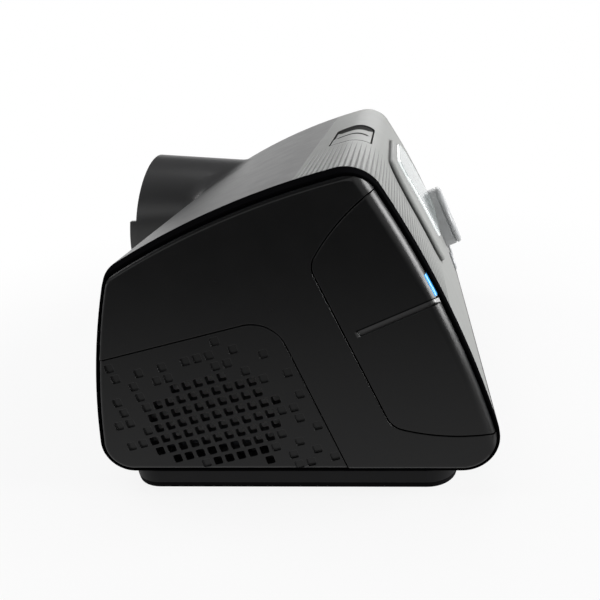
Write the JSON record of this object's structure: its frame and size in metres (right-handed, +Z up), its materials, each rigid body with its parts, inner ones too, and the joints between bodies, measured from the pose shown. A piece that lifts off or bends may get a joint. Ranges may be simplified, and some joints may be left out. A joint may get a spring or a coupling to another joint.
{
  "type": "cpap machine",
  "caption": "Bedside airway-pressure machine with a sloping roof, front screen and push dial, side filter and card covers and a rear air outlet.",
  "frame": {"origin": "on the table under the middle of the rubber sole", "axes": "+Z up; -Y towards the front with the screen and dial; +Y towards the rear with the air outlet; +X towards the right end as seen from the front"},
  "size_m": [0.14, 0.1355, 0.0858],
  "materials": {
    "sole_rubber": "matte moulded rubber",
    "black_shell": "fine moulded grain",
    "black_trim": "satin",
    "black_panel": "semi-gloss",
    "grey_shell": "satin moulded",
    "silver_fascia": "fine satin paint",
    "tube_plastic": "smooth",
    "silicone": "soft",
    "screen_glass": "clear gloss",
    "display_panel": "dark display",
    "circuit_board": "solder mask",
    "dial_satin": "satin paint",
    "button_gloss": "gloss",
    "white_plastic": "smooth",
    "connector_black": "moulded",
    "light_window": "translucent",
    "card_plastic": "fine grain",
    "filter_fibre": "felted fibre",
    "foam": "open-cell foam",
    "blower_plastic": "smooth",
    "steel": "plain"
  },
  "bodies": {
    "machine": {"rubber_sole": "sole_rubber", "lower_case": "black_shell", "case_screws": "steel", "rear_cover": "grey_shell", "outlet_tube": "tube_plastic", "outlet_boot": "silicone", "front_fascia": "silver_fascia", "screen_window": "screen_glass", "display_module": "display_panel", "face_board": "circuit_board", "dial_encoder": "connector_black", "left_front_trim": "black_trim", "left_end_frame": "black_trim", "right_front_trim": "black_trim", "right_end_frame": "black_trim", "right_side_panel": "black_panel", "left_side_panel": "black_panel", "card_socket": "steel", "air_filter": "filter_fibre", "inlet_muffler": "blower_plastic", "muffler_foam": "foam", "inlet_elbow": "silicone", "blower_scroll_upper": "blower_plastic", "blower_scroll_lower": "blower_plastic", "motor": "steel", "blower_mounts": "silicone", "main_board": "circuit_board", "power_inlet": "connector_black", "data_port": "connector_black"},
    "dial_carrier": {"dial_slider": "white_plastic"},
    "dial": {"push_dial": "dial_satin", "dial_shaft": "steel"},
    "info_key": {"info_button": "button_gloss"},
    "setup_key": {"setup_button": "button_gloss"},
    "start_tongue": {"start_key": "silver_fascia"},
    "card_door": {"card_cover": "black_panel", "card_light_window": "light_window"},
    "card": {"memory_card": "card_plastic"},
    "filter_door": {"filter_cover": "black_panel"},
    "port_plug": {"data_port_cover": "black_shell"},
    "rotor": {"impeller": "white_plastic", "motor_shaft": "steel"}
  },
  "joints": [
    {"name": "dial_press", "type": "slide", "parent": "machine", "child": "dial_carrier", "axis": [0, 0.9299, -0.3677], "range_m": [0, 0.0008], "stiffness_N_per_m": 600},
    {"name": "dial_turn", "type": "hinge", "parent": "dial_carrier", "child": "dial", "pos_m": [0.042, -0.04412, 0.0425], "axis": [0, -0.9299, 0.3677], "continuous": true},
    {"name": "info_button_press", "type": "slide", "parent": "machine", "child": "info_key", "axis": [0, 0.9504, -0.311], "range_m": [0, 0.0006], "stiffness_N_per_m": 500},
    {"name": "setup_button_press", "type": "slide", "parent": "machine", "child": "setup_key", "axis": [0, 0.9504, -0.311], "range_m": [0, 0.0006], "stiffness_N_per_m": 500},
    {"name": "start_key_press", "type": "hinge", "parent": "machine", "child": "start_tongue", "pos_m": [-0.024, -0.0155, 0.08342], "axis": [0, 1, 0], "range_deg": [0, 2], "stiffness_Nm_per_rad": 0.6},
    {"name": "card_cover_hinge", "type": "hinge", "parent": "machine", "child": "card_door", "pos_m": [-0.07, -0.00778, 0.06312], "axis": [0, -0.3858, -0.9226], "range_deg": [0, 95]},
    {"name": "memory_card_slide", "type": "slide", "parent": "machine", "child": "card", "axis": [-1, 0, 0], "range_m": [-0.001, 0.0025]},
    {"name": "filter_cover_pull", "type": "slide", "parent": "machine", "child": "filter_door", "axis": [-1, 0, 0], "range_m": [0, 0.012]},
    {"name": "port_cover_pull", "type": "slide", "parent": "machine", "child": "port_plug", "axis": [0, 1, 0], "range_m": [0, 0.008]},
    {"name": "impeller_spin", "type": "hinge", "parent": "machine", "child": "rotor", "pos_m": [0.029, 0.004, 0.0495], "axis": [0, 0, 1], "continuous": true}
  ]
}
